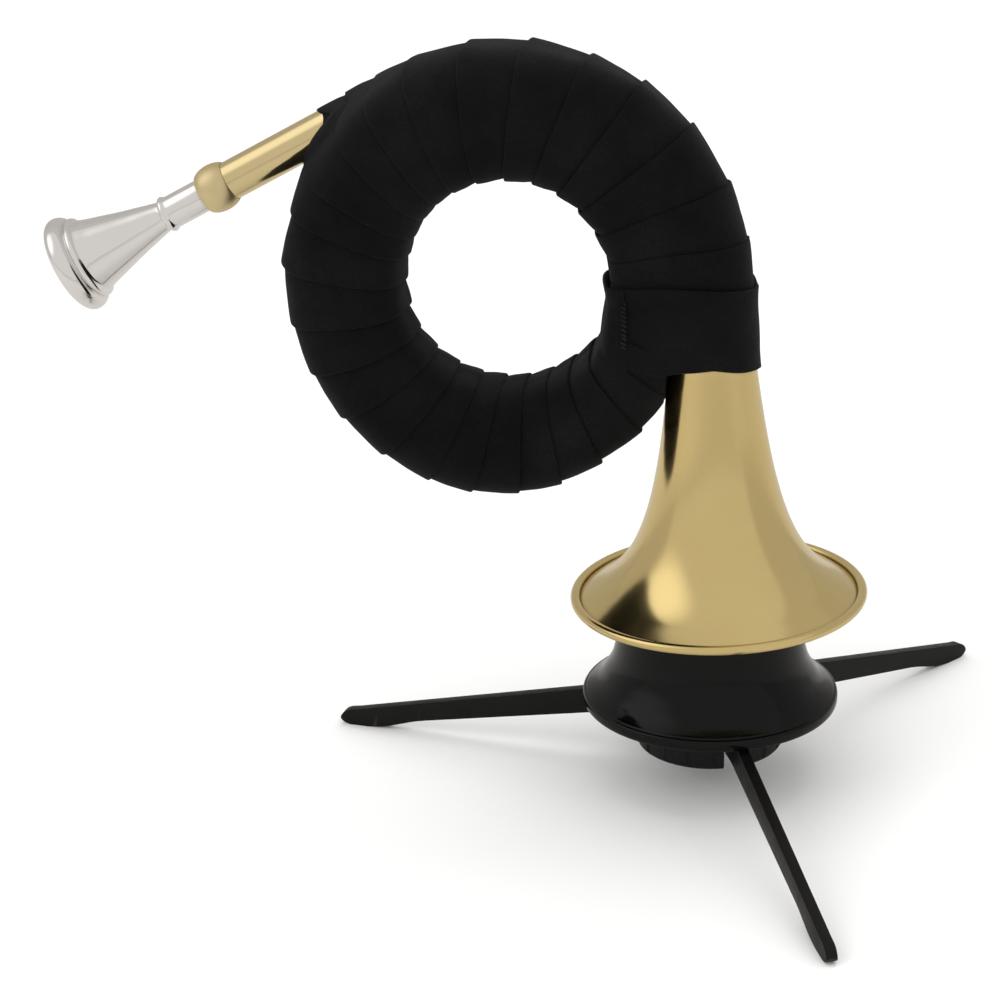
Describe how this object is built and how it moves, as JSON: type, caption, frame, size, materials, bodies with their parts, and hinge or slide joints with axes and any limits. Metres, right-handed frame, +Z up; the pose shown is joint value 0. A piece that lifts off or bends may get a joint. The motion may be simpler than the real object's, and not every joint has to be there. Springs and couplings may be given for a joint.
{
  "type": "pocket hunting horn on a tripod stand",
  "caption": "Coiled brass pocket horn without valves, wrapped in black tape, silver mouthpiece, standing bell down on the cone of a folding tripod stand.",
  "frame": {"origin": "the point of the floor under the axis of the stand", "axes": "+Z up along the stand's axis; the coil lies in the XZ plane and the mouthpiece points to -X; the front of the horn faces -Y"},
  "size_m": [0.2459, 0.1778, 0.1951],
  "materials": {
    "polished_brass": "polished",
    "satin_brass": "satin",
    "turned_brass": "turned",
    "wire": "drawn",
    "silver_plate": "silver plated, polished",
    "velour_tape": "matt black velour",
    "band_tape": "matt black velour",
    "thread": "grey thread",
    "black_gloss": "gloss",
    "black_satin": "satin",
    "black_paint": "satin black, worn at the edges",
    "steel": "turned"
  },
  "bodies": {
    "hub": {"leg_hub": "black_satin", "hub_cap": "black_satin", "cap_screws": "steel", "leg_pins": "steel", "centre_screw": "steel", "screw_washer": "steel"},
    "cone": {"bell_cone": "black_gloss", "threaded_insert": "turned_brass"},
    "horn": {"receiver_ferrule": "satin_brass", "leadpipe": "polished_brass", "lead_bend": "polished_brass", "coil_bend_1": "polished_brass", "coil_bend_2": "polished_brass", "coil_bend_3": "polished_brass", "coil_bend_4": "polished_brass", "coil_bend_5": "polished_brass", "coil_bend_6": "polished_brass", "coil_bend_7": "polished_brass", "coil_ferrules": "satin_brass", "coil_braces": "satin_brass", "bell_tail": "polished_brass", "bell": "polished_brass", "rim_wire": "wire", "wrap_tape": "velour_tape", "end_band": "band_tape", "band_stitching": "thread"},
    "mouthpiece": {"mouthpiece": "silver_plate"},
    "front_leg": {"front_leg": "black_paint"},
    "left_leg": {"left_leg": "black_paint"},
    "right_leg": {"right_leg": "black_paint"}
  },
  "joints": [
    {"name": "cone_turn", "type": "hinge", "parent": "hub", "child": "cone", "pos_m": [0, 0, 0.03], "axis": [0, 0, 1], "continuous": true},
    {"name": "horn_lift", "type": "slide", "parent": "cone", "child": "horn", "axis": [-0.0314, 0, 0.9995], "range_m": [0, 0.12]},
    {"name": "mouthpiece_pull", "type": "slide", "parent": "horn", "child": "mouthpiece", "axis": [-0.8829, 0, -0.4695], "range_m": [0, 0.04]},
    {"name": "front_leg_fold", "type": "hinge", "parent": "hub", "child": "front_leg", "pos_m": [0.00372, -0.01298, 0.0198], "axis": [0.9613, 0.2756, 0], "range_deg": [0, 79]},
    {"name": "left_leg_fold", "type": "hinge", "parent": "hub", "child": "left_leg", "pos_m": [-0.0131, 0.00327, 0.0198], "axis": [-0.2419, -0.9703, 0], "range_deg": [0, 79]},
    {"name": "right_leg_fold", "type": "hinge", "parent": "hub", "child": "right_leg", "pos_m": [0.00938, 0.00971, 0.0198], "axis": [-0.7193, 0.6947, 0], "range_deg": [0, 79]}
  ]
}
